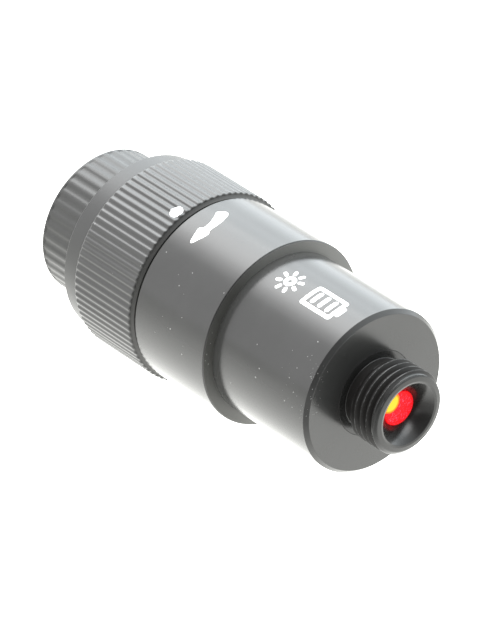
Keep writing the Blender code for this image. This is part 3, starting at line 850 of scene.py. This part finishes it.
# contact disc: dished plate with a raised centre pip towards the cell
give(turned("contact_disc", [(32.15, 0, 0), (32.15, 1.10, 0.10), (32.24, 1.35, 0.10), (32.24, 4.05, 0.12), (32.36, 4.33, 0.06), (32.60, 4.35, 0.05), (32.60, 0, 0)], cols=128, closed=False, sharp=50),
     brass, "spring_unit", ["spring_contact_disc"])

# wave washer with three waves
cols = 180
deg = np.arange(cols) * 360.0 / cols
wave = 0.05 * np.cos(np.radians(deg * 3))
S = np.array([34.77 + wave, 34.77 + wave, 34.83 + wave, 34.83 + wave])
R4 = np.array([[7.76], [8.05], [8.05], [7.76]]) * np.ones(cols)
give(shell("waved_washer", S, R4, closed=True, sharp=40), steel, "root", ["wave_washer"])

cols = 160
give(turned("front_washer", [(26.17, 7.78, 0.03), (26.17, 8.28, 0.03), (26.42, 8.28, 0.03), (26.42, 7.78, 0.03)], cols=160, n=3), nylon, "root", ["thrust_washer"])

carry = {"led_anode_lead": (tinned, "tinned_wire"), "led_cathode_lead": (tinned, "tinned_wire"), "led_holder": (moulded, "black_plastic"),
         "control_board": (board_mat, "circuit_board"), "series_resistor": (ceramic, "ceramic_chip"), "board_retaining_ring": (brass, "brass"),
         "spring_guide": (moulded, "black_plastic"), "inner_tube": (tube_mat, "tube_black"), "battery_liner": (liner_mat, "clear_liner"),
         "battery_cell_front": (nickel, "cell_steel"), "battery_cell_rear": (nickel, "cell_steel"), "track_band": (carbon, "carbon_track"),
         "track_lead": (tinned, "tinned_wire"), "ring_stop_pin": (steel, "spring_steel"), "wiper_spring": (brass, "brass")}
for node, (mat, slot) in carry.items():
    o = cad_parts[node]
    o.data.materials.clear()
    o.data.materials.append(mat)

# =====================================================================
# floor, light
# =====================================================================
bm = bmesh.new()
bmesh.ops.create_grid(bm, x_segments=8, y_segments=8, size=2.0)
me = bpy.data.meshes.new("floor")
bm.to_mesh(me)
bm.free()
floor = bpy.data.objects.new("floor", me)
coll.objects.link(floor)
floor.location = (0, 0, -0.00002)
# the floor glows: a painted pool of light round the object that falls off outwards and behind, and painted shade
# towards the front left corner
g = Nodes("floor_white")
sep = g.node("ShaderNodeSeparateXYZ")
g.put(sep.inputs[0], g.vec("SCALE", g.node("ShaderNodeTexCoord").outputs["Object"], scale=1000.0))
fx, fy = sep.outputs[0], sep.outputs[1]
side_y = g.math("MAXIMUM", g.math("MULTIPLY", fy, -1.0), g.math("MULTIPLY", fy, 0.4))
away = g.math("SQRT", g.math("ADD", g.math("POWER", g.math("MULTIPLY", g.math("ABSOLUTE", fx), 0.35), 2.0), g.math("POWER", side_y, 2.0)))
painted_light_pool = g.math("MULTIPLY", g.math("MULTIPLY", g.remap(away, 5.0, 30.0, 3.40, 2.40), g.remap(away, 30.0, 130.0, 1.0, 0.85)), g.remap(fx, -45.0, -12.0, 0.80, 1.0, smooth=True))
painted_shade_corner = g.math("MULTIPLY", g.remap(fx, 13.0, 27.0, smooth=True), g.remap(fy, -1.0, -13.0, smooth=True))
g.set(color=(0.06, 0.06, 0.059), rough=0.9, spec=0.0, emit=(0.995, 1.0, 0.965), emit_strength=g.math("MULTIPLY", painted_light_pool, g.math("SUBTRACT", 1.0, g.math("MULTIPLY", painted_shade_corner, 0.62))))
floor.data.materials.append(g.mat)

world = bpy.data.worlds.new("studio")
scene.world = world
world.use_nodes = True
wt = world.node_tree
bg = wt.nodes["Background"]
co = wt.nodes.new("ShaderNodeTexCoord")
sx = wt.nodes.new("ShaderNodeSeparateXYZ")
wt.links.new(co.outputs["Generated"], sx.inputs[0])


def world_range(socket, *values):
    n = wt.nodes.new("ShaderNodeMapRange")
    n.interpolation_type = "SMOOTHSTEP"
    for i, v in enumerate(values):
        n.inputs[i + 1].default_value = v
    wt.links.new(socket, n.inputs[0])
    return n.outputs[0]


back_wall = world_range(sx.outputs[1], -0.2, 0.75, 0.0, 1.0)
level = wt.nodes.new("ShaderNodeMath")
level.operation = "MULTIPLY"
wt.links.new(world_range(sx.outputs[1], -0.2, 0.75, 2.35, 4.2), level.inputs[0])
wt.links.new(world_range(sx.outputs[0], -0.1, 0.6, 1.0, 0.45), level.inputs[1])
# the side where the photographer stands is darker
facing = wt.nodes.new("ShaderNodeVectorMath")
facing.operation = "DOT_PRODUCT"
wt.links.new(co.outputs["Generated"], facing.inputs[0])
facing.inputs[1].default_value = (0.70, -0.52, 0.49)
front = wt.nodes.new("ShaderNodeMath")
front.operation = "MULTIPLY"
wt.links.new(level.outputs[0], front.inputs[0])
wt.links.new(world_range(facing.outputs["Value"], 0.74, 0.94, 1.0, 0.15), front.inputs[1])
wt.links.new(front.outputs[0], bg.inputs["Strength"])
tone = wt.nodes.new("ShaderNodeMix")
tone.data_type = "RGBA"
tone.inputs[6].default_value = (1.0, 1.0, 1.0, 1)
tone.inputs[7].default_value = (0.93, 0.99, 1.02, 1)
wt.links.new(back_wall, tone.inputs[0])
wt.links.new(tone.outputs[2], bg.inputs["Color"])


def softbox(name, centre, size_x, size_y, radiance, look_at=(0, 0, 0), colour=(1, 1, 1)):
    """Rectangular lamp with a given radiance."""
    li = bpy.data.lights.new(name, "AREA")
    li.shape = "RECTANGLE"
    li.size, li.size_y = size_x, size_y
    li.energy = radiance * math.pi * size_x * size_y
    li.color = colour
    o = bpy.data.objects.new(name, li)
    coll.objects.link(o)
    o.location = centre
    return o


H = 0.55
# overhead softbox as strips of falling radiance, for its soft near edge and its fall-off towards the back
STRIPS = [(-0.42, -0.24, 1.6, (1.0, 1.0, 1.0)), (-0.24, -0.09, 3.5, (1.0, 1.0, 1.0)), (-0.09, 0.30, 5.6, (0.99, 1.0, 1.0)),
          (0.30, 0.70, 4.4, (0.97, 1.0, 1.01)), (0.70, 1.35, 1.9, (0.93, 0.99, 1.02))]
x0, x1 = -2.0 * H, 0.5 * H
for i, (y0, y1, radiance, tint) in enumerate(STRIPS):
    softbox("overhead_softbox_%d" % i, ((x0 + x1) / 2, (y0 + y1) / 2 * H, H), x1 - x0, (y1 - y0) * H, radiance, colour=tint)
